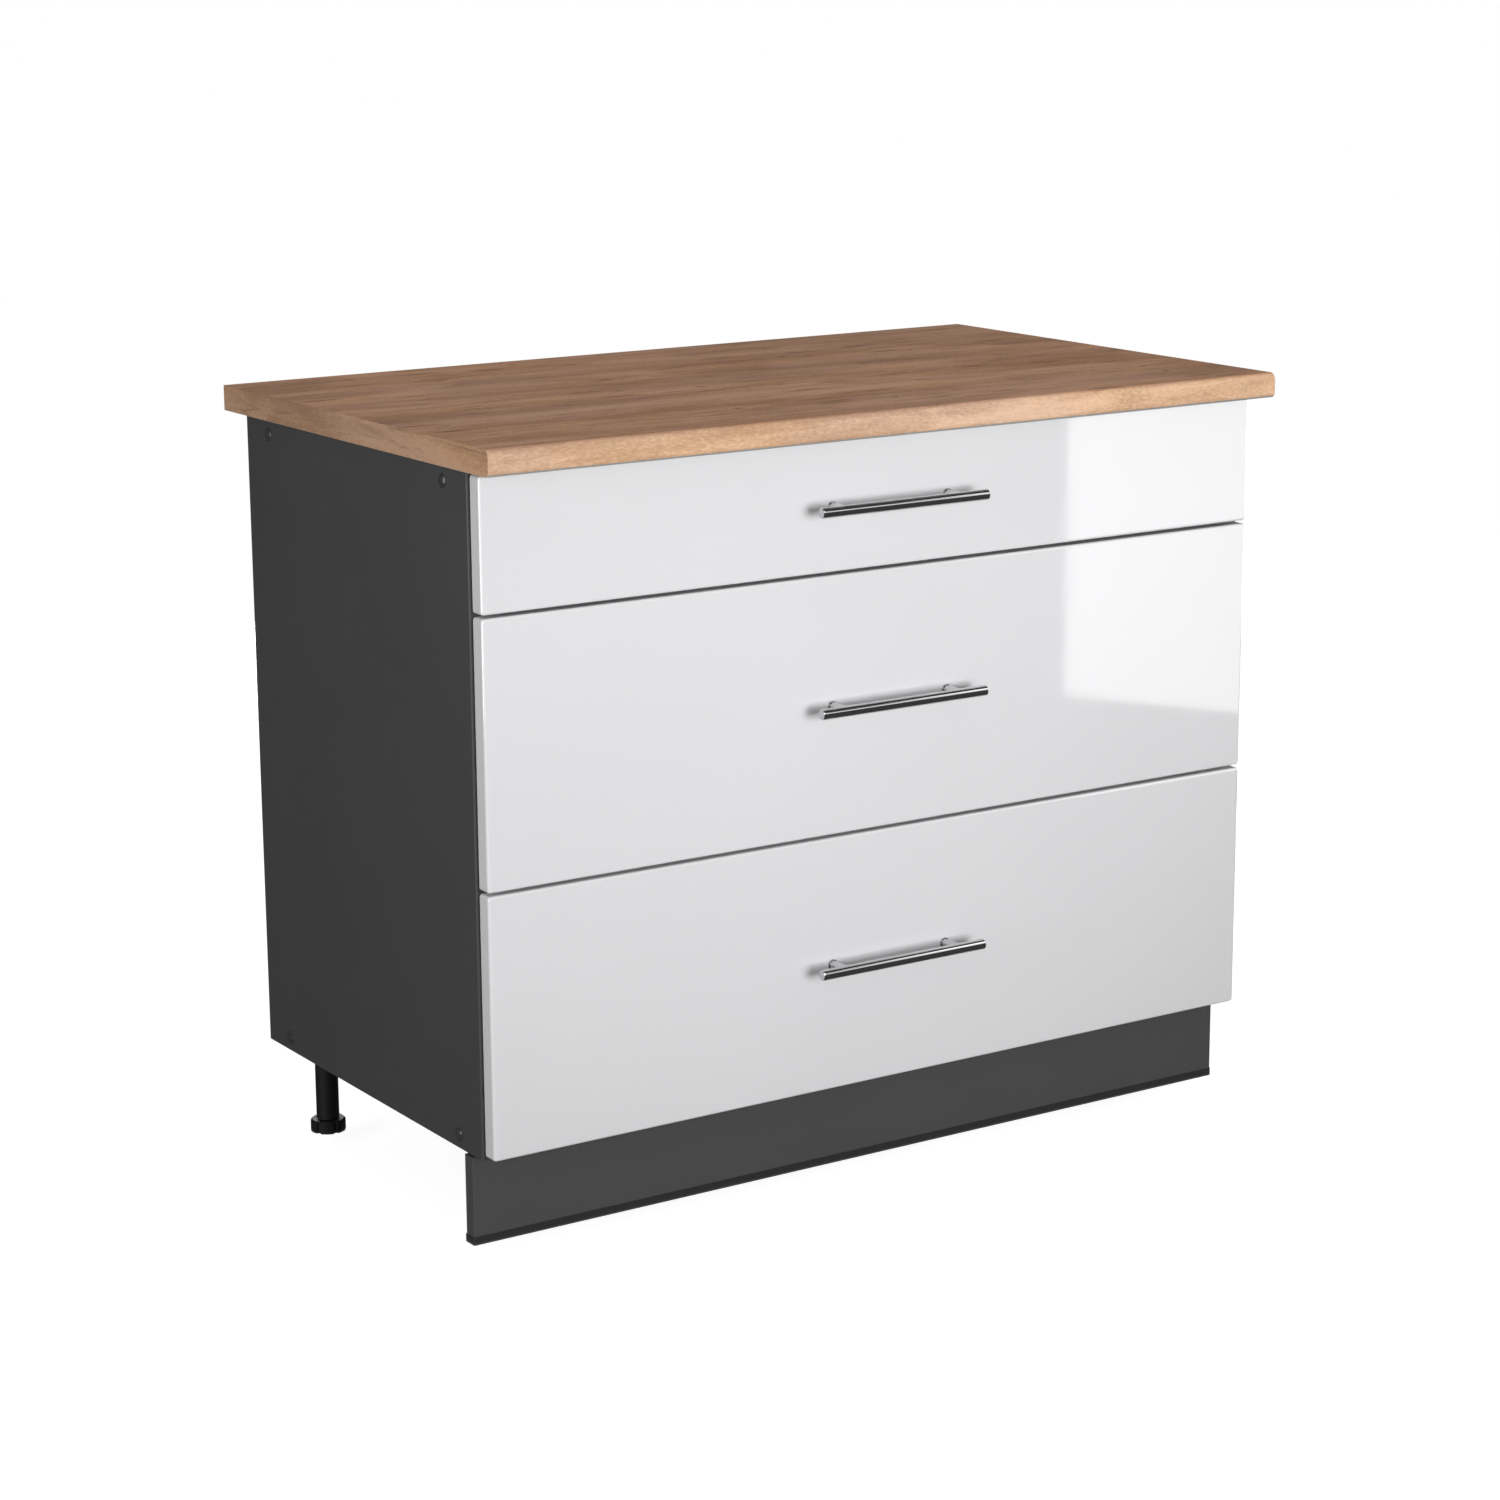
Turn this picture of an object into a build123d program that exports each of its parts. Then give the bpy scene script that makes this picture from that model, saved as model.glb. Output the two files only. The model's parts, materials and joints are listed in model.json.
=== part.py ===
from build123d import *
import os

# Kitchen base cabinet with three drawers. Millimetres, +Z up, -Y is the front.
# The origin lies on the floor under the centre of the worktop.

# Carcass
CARCASS_WIDTH = 1000.0
CARCASS_DEPTH = 500.0
CARCASS_HEIGHT = 720.0
LEG_HEIGHT = 100.0  # floor to the lower ends of the side panels
BOARD = 16.0
BOTTOM_RISE = 7.0  # bottom panel above the lower ends of the side panels
RAIL_WIDTH = 100.0
RAIL_DROP = 8.0  # top rails below the upper ends of the side panels
BACK_THICKNESS = 3.0
BACK_REBATE = 8.0
BACK_EDGE_GAP = 1.0
EDGE_ROUND = 0.8
PANEL_EDGE_ROUND = 2.0  # thicker edge strip on the fronts of the side panels

# Worktop
WORKTOP_DEPTH = 600.0
WORKTOP_THICKNESS = 28.0
WORKTOP_SIDE_OVERHANG = 5.0
WORKTOP_FRONT_OVERHANG = 35.0
WORKTOP_TOP_ROUND = 8.0
WORKTOP_UNDER_ROUND = 6.0

# Plinth and its sealing strip
PLINTH_SETBACK = 22.5
PLINTH_THICKNESS = 16.0
PLINTH_TOP_GAP = 3.0
SEAL_HEIGHT = 9.0
SEAL_WALL = 0.8
SEAL_FLOOR = 1.5

# Legs and levelling feet
LEG_SIDE_INSET = 40.0
LEG_BACK_INSET = 60.0
LEG_PLINTH_GAP = 16.0  # plinth to the wall of a front leg
LEG_FLANGE_DIAMETER = 46.0
LEG_FLANGE_THICKNESS = 4.0
LEG_FLANGE_EDGE = 2.0
LEG_RIB_HEIGHT = 16.0
LEG_RIB_THICKNESS = 3.0
QUARTER_TURN = 90.0
LEG_TUBE_DIAMETER = 26.0
LEG_TUBE_ROOM = 1.0  # free height between tube and foot
FOOT_DIAMETER = 40.0
FOOT_HEIGHT = 14.0
FOOT_EDGE = 2.0
FOOT_STUD_DIAMETER = 20.0
FOOT_STUD_LENGTH = 66.0
FOOT_NOTCHES = 6
FOOT_NOTCH_DIAMETER = 5.0
SLIDE_FIT = 0.3  # free play between a moving face and its seat

# Plinth clips
CLIP_PLATE_WIDTH = 36.0
CLIP_PLATE_HEIGHT = 40.0
CLIP_PLATE_THICKNESS = 3.0
CLIP_RING_WALL = 2.5
CLIP_RING_HEIGHT = 14.0
CLIP_MOUTH = 22.0
CLIP_ARM_WIDTH = 8.0
CLIP_CENTRE_HEIGHT = 60.0
SEAT_FIT = 0.1  # free play between a fixed piece and its hole

# Screws and caps
CONFIRMAT_DIAMETER = 7.0
CONFIRMAT_LENGTH = 50.0
CONFIRMAT_HEAD_DIAMETER = 10.0
CONFIRMAT_HEAD_HEIGHT = 4.0
CAP_DIAMETER = 15.0
CAP_RIM = 0.6
CAP_HEIGHT = 3.2
WORKTOP_SCREW_DIAMETER = 4.5
WORKTOP_SCREW_BITE = 18.0
WORKTOP_SCREW_SPACING = 500.0
RUNNER_SCREW_DIAMETER = 5.0
RUNNER_SCREW_BITE = 11.0
RUNNER_SCREW_INSET = 37.0
RUNNER_SCREW_SPACING = 256.0
RUNNER_SCREW_HEAD_HEIGHT = 1.3
PAN_HEAD_DIAMETER = 9.0
PAN_HEAD_HEIGHT = 2.8

# Drawer fronts
TOP_FRONT_HEIGHT = 140.0
FRONT_THICKNESS = 18.0
FRONT_GAP = 3.5  # between fronts, and above and below them
FRONT_STANDOFF = 1.5  # front to carcass, the height of a soft buffer
FRONT_REVEAL = 3.0  # at each side
FRONT_CORNER = 3.5  # corners of the outline
FRONT_ROUND = 3.0  # edges of the outer face

# Handles
HANDLE_LENGTH = 216.0
HANDLE_CENTRES = 150.0
HANDLE_DIAMETER = 12.0
HANDLE_STANDOFF = 28.5  # front face to the bar's axis
HANDLE_CHAMFER = 1.0
POST_DIAMETER = 10.0
POST_FOOT_DIAMETER = 12.0
POST_FOOT_HEIGHT = 2.0
HANDLE_SCREW_DIAMETER = 4.0
HANDLE_SCREW_BITE = 12.0
HANDLE_HOLE_FIT = 0.3

# Runners and rollers, measured inward from the panel's inner face
SHEET = 1.2
BEND_ROUND = 0.4
RUNNER_BACK_ROOM = 50.0  # carcass depth that a runner leaves free
RUNNER_UNUSED = 110.0  # runner's length beyond the drawer's travel
RUNNER_SETBACK = 2.0
RUNNER_RISE = 28.0  # runner above the lower edge of its front
RUNNER_FLANGE = 11.0
ROLLER_DIAMETER = 22.0
ROLLER_WIDTH = 6.5
ROLLER_EDGE = 1.0
ROLLER_INSET = 12.0  # front roller's axis from the runner's front end
ROLLER_ROOM = 27.0  # runner's front stretch without flanges
PIN_DIAMETER = 6.0
PIN_HEAD_DIAMETER = 8.5
PIN_HEAD_THICKNESS = 0.8
PIN_SHOULDER = 1.0
PIN_SHOULDER_DIAMETER = 9.0
PIN_FIT = 0.2
ROLLER_SIDE_FIT = 0.3
STOP_WIDTH = 5.0
STOP_HEIGHT = 6.0

# Drawer boxes
DRAWER_WEB = 12.0  # panel's inner face to the drawer side's web
DRAWER_FLANGE_START = 2.0
FLANGE_LIFT = 1.0  # front roller's top above the runner
LOW_SIDE_HEIGHT = 86.0
DEEP_SIDE_HEIGHT = 118.0
LOW_BACK_HEIGHT = 68.0
DEEP_BACK_HEIGHT = 182.0
BASE_FLANGE = 20.0
HEM_WIDTH = 8.0
HEM_DROP = 8.0
DRAWER_BOARD = 16.0
BACK_ROLLER_INSET = 15.0
BRACKET_SHEET = 1.5
BRACKET_LENGTH = 40.0
BRACKET_WIDTH = 9.5
BRACKET_MARGIN = 4.0
RAIL_DIAMETER = 10.0
RAIL_CENTRE = 20.0
RAIL_HEIGHT = 160.0
RAIL_CUP_DIAMETER = 18.0
RAIL_CUP_LENGTH = 6.0

# Places that follow from the sizes above
WORKTOP_WIDTH = CARCASS_WIDTH + 2 * WORKTOP_SIDE_OVERHANG
FRONT_Y = WORKTOP_FRONT_OVERHANG - WORKTOP_DEPTH / 2
FRONT_BACK_Y = FRONT_Y + FRONT_THICKNESS
PANEL_FRONT_Y = FRONT_BACK_Y + FRONT_STANDOFF
PANEL_BACK_Y = PANEL_FRONT_Y + CARCASS_DEPTH
INNER_BACK_Y = PANEL_BACK_Y - BACK_THICKNESS
OUTER_X = CARCASS_WIDTH / 2
INNER_X = OUTER_X - BOARD
CARCASS_TOP = LEG_HEIGHT + CARCASS_HEIGHT
BOTTOM_Z = LEG_HEIGHT + BOTTOM_RISE
RAIL_TOP = CARCASS_TOP - RAIL_DROP
PLINTH_FRONT_Y = PANEL_FRONT_Y + PLINTH_SETBACK
PLINTH_BACK_Y = PLINTH_FRONT_Y + PLINTH_THICKNESS
LEG_X = OUTER_X - LEG_SIDE_INSET
LEG_FRONT_Y = PLINTH_BACK_Y + LEG_PLINTH_GAP + LEG_TUBE_DIAMETER / 2
LEG_BACK_Y = PANEL_BACK_Y - LEG_BACK_INSET
FRONT_RAIL_Y = PANEL_FRONT_Y + RAIL_WIDTH / 2
BACK_RAIL_Y = INNER_BACK_Y - RAIL_WIDTH / 2
RAIL_SCREW_Z = RAIL_TOP - BOARD / 2
BOTTOM_SCREW_Z = BOTTOM_Z + BOARD / 2
FRONT_WIDTH = CARCASS_WIDTH - 2 * FRONT_REVEAL
DEEP_FRONT_HEIGHT = (CARCASS_HEIGHT - TOP_FRONT_HEIGHT - 4 * FRONT_GAP) / 2
ROLLER_RADIUS = ROLLER_DIAMETER / 2
RUNNER_HEIGHT = ROLLER_DIAMETER + 2 * SLIDE_FIT + 2 * SHEET
RUNNER_LENGTH = CARCASS_DEPTH - RUNNER_BACK_ROOM
DRAWER_TRAVEL = RUNNER_LENGTH - RUNNER_UNUSED
RUNNER_FRONT_Y = PANEL_FRONT_Y + RUNNER_SETBACK
RUNNER_BACK_Y = RUNNER_FRONT_Y + RUNNER_LENGTH
FRONT_ROLLER_Y = RUNNER_FRONT_Y + ROLLER_INSET
FRONT_ROLLER_Z = RUNNER_HEIGHT + FLANGE_LIFT - ROLLER_RADIUS
FLANGE_Z = RUNNER_HEIGHT + FLANGE_LIFT + SLIDE_FIT
DRAWER_BACK_Y = FRONT_BACK_Y + RUNNER_LENGTH
BACK_ROLLER_Y = DRAWER_BACK_Y - BACK_ROLLER_INSET
BACK_ROLLER_Z = RUNNER_HEIGHT / 2
DRAWER_INNER_X = INNER_X - DRAWER_WEB - SHEET
DRAWER_BOARD_X = DRAWER_INNER_X - BEND_ROUND - SEAT_FIT


def span(x0, x1, y0, y1, z0, z1):
    """A block between two corners."""
    size = Box(x1 - x0, y1 - y0, z1 - z0)
    return Pos((x0 + x1) / 2, (y0 + y1) / 2, (z0 + z1) / 2) * size


def strip(x0, x1, z0, z1):
    """A rectangle of a profile, between two corners."""
    return Pos((x0 + x1) / 2, (z0 + z1) / 2) * Rectangle(x1 - x0, z1 - z0)


def along_y(profile, y0, y1):
    """Extrude an XZ profile from y0 to y1."""
    return extrude(Plane.XZ.offset(-y1) * profile, amount=y1 - y0)


def along_x(profile, x0, x1):
    """Extrude a YZ profile from x0 to x1."""
    return extrude(Plane.YZ.offset(x0) * profile, amount=x1 - x0)


def rod(diameter, start, direction, length):
    """A round bar from a start point along a direction."""
    base = Plane(origin=start, z_dir=direction)
    return extrude(base * Circle(diameter / 2), amount=length)


def both_sides(left):
    """A piece of the left side and its mirror image."""
    return [left, mirror(left, about=Plane.YZ)]


def group(solids):
    """Separate solids that share one node."""
    return Compound([s for shape in solids for s in shape.solids()])


def rounded_front_edges(board, radius):
    """Round the upright edges of a board's front face."""
    front = board.faces().sort_by(Axis.Y)[0]
    return fillet(front.edges().filter_by(Axis.Z), radius)


# Carcass boards


def confirmat_places():
    """Y and Z of the confirmat screws in a side panel."""
    lines = (FRONT_RAIL_Y, BACK_RAIL_Y)
    return [(y, z) for y in lines for z in (RAIL_SCREW_Z, BOTTOM_SCREW_Z)]


def runner_screw_places():
    """Y of the two screws of a runner, by its lower edge."""
    first = PANEL_FRONT_Y + RUNNER_SCREW_INSET
    return (first, first + RUNNER_SCREW_SPACING)


def confirmat(y, z, play):
    """A confirmat screw of the left side, or its hole when given play."""
    out = (-1, 0, 0)
    shank = rod(CONFIRMAT_DIAMETER + 2 * play, (-OUTER_X, y, z), (1, 0, 0), CONFIRMAT_LENGTH + play)
    base = Plane(origin=(CONFIRMAT_HEAD_HEIGHT - OUTER_X, y, z), z_dir=out)
    narrow = CONFIRMAT_DIAMETER / 2 + play
    wide = CONFIRMAT_HEAD_DIAMETER / 2 + play
    head = base * Cone(narrow, wide, CONFIRMAT_HEAD_HEIGHT, align=(Align.CENTER, Align.CENTER, Align.MIN))
    return shank + head


def left_panel(drawers):
    board = span(-OUTER_X, -INNER_X, PANEL_FRONT_Y, PANEL_BACK_Y, LEG_HEIGHT, CARCASS_TOP)
    board = rounded_front_edges(board, PANEL_EDGE_ROUND)
    rebate_x = -INNER_X - BACK_REBATE
    board -= span(rebate_x, -INNER_X, INNER_BACK_Y, PANEL_BACK_Y, LEG_HEIGHT, CARCASS_TOP)
    for y, z in confirmat_places():
        board -= confirmat(y, z, SEAT_FIT)
    for drawer in drawers:
        for y in runner_screw_places():
            board -= runner_screw(y, drawer["runner_z"], SEAT_FIT)
    return board


def cross_board(y0, y1, z0):
    """A board between the side panels, with its confirmat holes."""
    board = span(-INNER_X, INNER_X, y0, y1, z0, z0 + BOARD)
    board = fillet(board.faces().sort_by(Axis.Y)[0].edges().filter_by(Axis.X), EDGE_ROUND)
    for y, z in confirmat_places():
        if y0 < y < y1 and z0 < z < z0 + BOARD:
            for hole in both_sides(confirmat(y, z, SEAT_FIT)):
                board -= hole
    return board


def bottom_panel():
    return cross_board(PANEL_FRONT_Y, INNER_BACK_Y, BOTTOM_Z)


def top_rail(centre_y):
    rail = cross_board(centre_y - RAIL_WIDTH / 2, centre_y + RAIL_WIDTH / 2, RAIL_TOP - BOARD)
    for x in worktop_screw_columns():
        rail -= worktop_screw(x, centre_y, SEAT_FIT)
    return rail


def back_panel():
    half = INNER_X + BACK_REBATE - BACK_EDGE_GAP
    low = LEG_HEIGHT + BACK_EDGE_GAP
    return span(-half, half, INNER_BACK_Y, PANEL_BACK_Y, low, CARCASS_TOP - BACK_EDGE_GAP)


def worktop():
    back = WORKTOP_DEPTH / 2
    profile = strip(-back, back, CARCASS_TOP, CARCASS_TOP + WORKTOP_THICKNESS)
    front = profile.vertices().group_by(Axis.X)[0].sort_by(Axis.Y)
    profile = fillet(front[-1], WORKTOP_TOP_ROUND)
    front = profile.vertices().group_by(Axis.X)[0].sort_by(Axis.Y)
    profile = fillet(front[0], WORKTOP_UNDER_ROUND)
    top = along_x(profile, -WORKTOP_WIDTH / 2, WORKTOP_WIDTH / 2)
    for x in worktop_screw_columns():
        for y in (FRONT_RAIL_Y, BACK_RAIL_Y):
            top -= worktop_screw(x, y, SEAT_FIT)
    return top


# Plinth


def plinth_board():
    top = LEG_HEIGHT - PLINTH_TOP_GAP
    board = span(-OUTER_X, OUTER_X, PLINTH_FRONT_Y, PLINTH_BACK_Y, SEAL_FLOOR, top)
    return rounded_front_edges(board, EDGE_ROUND)


def plinth_seal():
    """A strip that cups the lower edge of the plinth."""
    half = OUTER_X + SEAL_WALL
    cup = span(-half, half, PLINTH_FRONT_Y - SEAL_WALL, PLINTH_BACK_Y + SEAL_WALL, 0, SEAL_HEIGHT)
    cup = rounded_front_edges(cup, EDGE_ROUND + SEAL_WALL)
    return cup - plinth_board()


def plinth_clips():
    """Spring clips on the plinth that grip the front legs."""
    inner = LEG_TUBE_DIAMETER / 2 + SEAT_FIT
    outer = inner + CLIP_RING_WALL
    ring = Pos(-LEG_X, LEG_FRONT_Y) * (Circle(outer) - Circle(inner))
    mouth = Pos(-LEG_X, LEG_FRONT_Y + outer) * Rectangle(CLIP_MOUTH, 2 * outer)
    plate_y = PLINTH_BACK_Y + CLIP_PLATE_THICKNESS
    arm_end = LEG_FRONT_Y - inner - CLIP_RING_WALL / 2
    arm = Pos(-LEG_X, (plate_y + arm_end) / 2) * Rectangle(CLIP_ARM_WIDTH, arm_end - plate_y)
    low = CLIP_CENTRE_HEIGHT - CLIP_RING_HEIGHT / 2
    grip = extrude(Plane.XY.offset(low) * (ring - mouth + arm), amount=CLIP_RING_HEIGHT)
    half = CLIP_PLATE_WIDTH / 2
    plate_low = CLIP_CENTRE_HEIGHT - CLIP_PLATE_HEIGHT / 2
    plate_high = plate_low + CLIP_PLATE_HEIGHT
    plate = span(-LEG_X - half, half - LEG_X, PLINTH_BACK_Y, plate_y, plate_low, plate_high)
    return group(both_sides(plate + grip))


# Legs and feet


def leg_places():
    return {
        "front_left": (-LEG_X, LEG_FRONT_Y),
        "front_right": (LEG_X, LEG_FRONT_Y),
        "back_left": (-LEG_X, LEG_BACK_Y),
        "back_right": (LEG_X, LEG_BACK_Y),
    }


def leg_socket(x, y):
    """A flanged tube under the bottom panel, open below for the foot's stud."""
    low = FOOT_HEIGHT + LEG_TUBE_ROOM
    tube = rod(LEG_TUBE_DIAMETER, (x, y, low), (0, 0, 1), BOTTOM_Z - low)
    flange_z = BOTTOM_Z - LEG_FLANGE_THICKNESS
    flange = rod(LEG_FLANGE_DIAMETER, (x, y, flange_z), (0, 0, 1), LEG_FLANGE_THICKNESS)
    flange = chamfer(flange.edges().sort_by(Axis.Z)[0], LEG_FLANGE_EDGE)
    stud_room = FOOT_STUD_LENGTH + SLIDE_FIT - LEG_TUBE_ROOM
    bore = rod(FOOT_STUD_DIAMETER + 2 * SLIDE_FIT, (x, y, low), (0, 0, 1), stud_room)
    return tube + flange + leg_ribs(x, y, flange_z) - bore


def leg_ribs(x, y, flange_z):
    """Two crossed gussets between a leg's tube and its flange."""
    wide = LEG_FLANGE_DIAMETER / 2 - LEG_FLANGE_EDGE
    narrow = LEG_TUBE_DIAMETER / 2
    low = flange_z - LEG_RIB_HEIGHT
    corners = [(-wide, flange_z), (wide, flange_z), (narrow, low), (-narrow, low)]
    half = LEG_RIB_THICKNESS / 2
    rib = along_y(make_face(Polyline(*corners, close=True)), -half, half)
    return Pos(x, y) * (rib + Rot(0, 0, QUARTER_TURN) * rib)


def foot(x, y):
    """A levelling foot: a disc with a notched rim on a stud."""
    disc = rod(FOOT_DIAMETER, (x, y, 0), (0, 0, 1), FOOT_HEIGHT)
    disc = chamfer(disc.edges().sort_by(Axis.Z)[-1], FOOT_EDGE)
    half_pitch = 2 * QUARTER_TURN / FOOT_NOTCHES
    for place in PolarLocations(FOOT_DIAMETER / 2, FOOT_NOTCHES, half_pitch):
        disc -= rod(FOOT_NOTCH_DIAMETER, place.position + (x, y, 0), (0, 0, 1), FOOT_HEIGHT)
    return disc + rod(FOOT_STUD_DIAMETER, (x, y, 0), (0, 0, 1), FOOT_HEIGHT + FOOT_STUD_LENGTH)


# Screws and caps


def pan_head(place, direction, height):
    """A screw head that stands on a surface."""
    return rod(PAN_HEAD_DIAMETER, place, direction, height)


def screw_cap(y, z):
    """A domed cap over a confirmat head of the left side."""
    radius = CAP_DIAMETER / 2
    rim = Line((radius, 0), (radius, CAP_RIM))
    dome = RadiusArc((radius, CAP_RIM), (0, CAP_HEIGHT), -dome_radius(radius, CAP_HEIGHT - CAP_RIM))
    outline = [Line((0, 0), (radius, 0)), rim, dome, Line((0, CAP_HEIGHT), (0, 0))]
    cap = revolve(Plane.XZ * make_face(outline), Axis.Z)
    return Plane(origin=(-OUTER_X, y, z), z_dir=(-1, 0, 0)) * cap


def dome_radius(radius, rise):
    """Radius of the sphere under a dome of a given rim and rise."""
    return (radius**2 + rise**2) / (2 * rise)


def worktop_screw_columns():
    return (-WORKTOP_SCREW_SPACING / 2, WORKTOP_SCREW_SPACING / 2)


def worktop_screw(x, y, play):
    """The shank of a screw from under a top rail into the worktop."""
    low = RAIL_TOP - BOARD
    length = BOARD + RAIL_DROP + WORKTOP_SCREW_BITE + play
    return rod(WORKTOP_SCREW_DIAMETER + 2 * play, (x, y, low), (0, 0, 1), length)


def worktop_screws():
    screws = []
    for x in worktop_screw_columns():
        for y in (FRONT_RAIL_Y, BACK_RAIL_Y):
            head = pan_head((x, y, RAIL_TOP - BOARD), (0, 0, -1), PAN_HEAD_HEIGHT)
            screws.append(head + worktop_screw(x, y, 0))
    return group(screws)


def runner_screw(y, runner_z, play):
    """The shank of a screw from a runner's web into the left panel."""
    start = (SHEET - INNER_X, y, runner_z + RUNNER_HEIGHT / 2)
    length = SHEET + RUNNER_SCREW_BITE + play
    return rod(RUNNER_SCREW_DIAMETER + 2 * play, start, (-1, 0, 0), length)


def runner_screws(drawers):
    screws = []
    for drawer in drawers:
        for y in runner_screw_places():
            seat = (SHEET - INNER_X, y, drawer["runner_z"] + RUNNER_HEIGHT / 2)
            head = pan_head(seat, (1, 0, 0), RUNNER_SCREW_HEAD_HEIGHT)
            screws += both_sides(head + runner_screw(y, drawer["runner_z"], 0))
    return group(screws)


# Runners and rollers


def pin(start, direction):
    """A riveted roller pin: shoulder, shaft and head."""
    axis = Vector(*direction)
    shaft_length = PIN_SHOULDER + ROLLER_WIDTH + 2 * ROLLER_SIDE_FIT
    head_start = Vector(*start) + axis * shaft_length
    shoulder = rod(PIN_SHOULDER_DIAMETER, start, direction, PIN_SHOULDER)
    shaft = rod(PIN_DIAMETER, start, direction, shaft_length + PIN_HEAD_THICKNESS)
    head = rod(PIN_HEAD_DIAMETER, head_start, direction, PIN_HEAD_THICKNESS)
    return shoulder + shaft + head


def roller(web_x, direction, y, z):
    """A nylon roller beside the web that carries its pin."""
    start = web_x + direction * (PIN_SHOULDER + ROLLER_SIDE_FIT)
    wheel = rod(ROLLER_DIAMETER, (start, y, z), (direction, 0, 0), ROLLER_WIDTH)
    wheel = chamfer(wheel.edges().filter_by(GeomType.CIRCLE), ROLLER_EDGE)
    return wheel - rod(PIN_DIAMETER + 2 * PIN_FIT, (start, y, z), (direction, 0, 0), ROLLER_WIDTH)


def stop_tab(y, runner_z):
    """A tab bent up from a runner's lower flange."""
    right = RUNNER_FLANGE - INNER_X
    low = runner_z + SHEET
    return span(right - STOP_WIDTH, right, y, y + SHEET, low, low + STOP_HEIGHT)


def left_runner(runner_z):
    """A folded C profile with a roller pin at its front end and two stops."""
    wall = -INNER_X
    top = runner_z + RUNNER_HEIGHT
    web = strip(wall, wall + SHEET, runner_z, top)
    lower = strip(wall, wall + RUNNER_FLANGE, runner_z, runner_z + SHEET)
    upper = strip(wall, wall + RUNNER_FLANGE, top - SHEET, top)
    profile = web + lower + upper
    profile = fillet(profile.vertices(), BEND_ROUND)
    runner = along_y(profile, RUNNER_FRONT_Y + ROLLER_ROOM, RUNNER_BACK_Y)
    runner += along_y(web, RUNNER_FRONT_Y, RUNNER_FRONT_Y + ROLLER_ROOM)
    runner += pin((wall + SHEET, FRONT_ROLLER_Y, runner_z + FRONT_ROLLER_Z), (1, 0, 0))
    reach = ROLLER_RADIUS + SLIDE_FIT
    runner += stop_tab(BACK_ROLLER_Y + reach, runner_z)
    runner += stop_tab(BACK_ROLLER_Y - DRAWER_TRAVEL - reach - SHEET, runner_z)
    for y in runner_screw_places():
        runner -= runner_screw(y, runner_z, SEAT_FIT)
    return runner


def runner_rollers(runner_z):
    web_x = SHEET - INNER_X
    left = roller(web_x, 1, FRONT_ROLLER_Y, runner_z + FRONT_ROLLER_Z)
    return group(both_sides(left))


def drawer_rollers(runner_z):
    left = roller(DRAWER_WEB - INNER_X, -1, BACK_ROLLER_Y, runner_z + BACK_ROLLER_Z)
    return group(both_sides(left))


# Drawers


def left_side(drawer):
    """A folded steel drawer side: wall, hemmed rim, running flange and base flange."""
    outer = DRAWER_WEB - INNER_X
    inner = outer + SHEET
    low = drawer["runner_z"]
    top = low + drawer["side_height"]
    flange_z = low + FLANGE_Z
    hem_x = outer - HEM_WIDTH
    profile = strip(outer, inner, low, top)
    profile += strip(outer, outer + BASE_FLANGE, low, low + SHEET)
    profile += strip(DRAWER_FLANGE_START - INNER_X, inner, flange_z, flange_z + 2 * SHEET)
    profile += strip(hem_x, inner, top - SHEET, top)
    profile += strip(hem_x, hem_x + SHEET, top - HEM_DROP, top)
    profile = fillet(profile.vertices(), BEND_ROUND)
    side = along_y(profile, FRONT_BACK_Y, DRAWER_BACK_Y)
    return side + pin((outer, BACK_ROLLER_Y, low + BACK_ROLLER_Z), (-1, 0, 0))


def drawer_base(drawer):
    half = DRAWER_BOARD_X
    low = drawer["base_z"]
    return span(-half, half, FRONT_BACK_Y, DRAWER_BACK_Y, low, low + DRAWER_BOARD)


def drawer_back(drawer):
    half = DRAWER_BOARD_X
    low = drawer["base_z"] + DRAWER_BOARD
    front = DRAWER_BACK_Y - DRAWER_BOARD
    board = span(-half, half, front, DRAWER_BACK_Y, low, low + drawer["back_height"])
    return fillet(board.edges().filter_by(Axis.X).group_by(Axis.Z)[-1], EDGE_ROUND)


def drawer_front(drawer):
    half = FRONT_WIDTH / 2
    low = drawer["front_z"]
    board = span(-half, half, FRONT_Y, FRONT_BACK_Y, low, low + drawer["front_height"])
    board = fillet(board.edges().filter_by(Axis.Y), FRONT_CORNER)
    board = fillet(board.faces().sort_by(Axis.Y)[0].edges(), FRONT_ROUND)
    for x in handle_columns():
        hole = HANDLE_SCREW_DIAMETER + 2 * HANDLE_HOLE_FIT
        board -= rod(hole, (x, FRONT_Y, drawer["handle_z"]), (0, 1, 0), FRONT_THICKNESS)
    return board


def front_brackets(drawer):
    """Angle plates that join the drawer sides to the front."""
    wall = DRAWER_WEB - INNER_X
    low = drawer["runner_z"] + FLANGE_Z + 2 * SHEET + BRACKET_MARGIN
    high = drawer["runner_z"] + drawer["side_height"] - HEM_DROP - BRACKET_MARGIN
    on_front = span(wall - BRACKET_WIDTH, wall, FRONT_BACK_Y, FRONT_BACK_Y + BRACKET_SHEET, low, high)
    on_side = span(wall - BRACKET_SHEET, wall, FRONT_BACK_Y, FRONT_BACK_Y + BRACKET_LENGTH, low, high)
    return group(both_sides(on_front + on_side))


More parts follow.
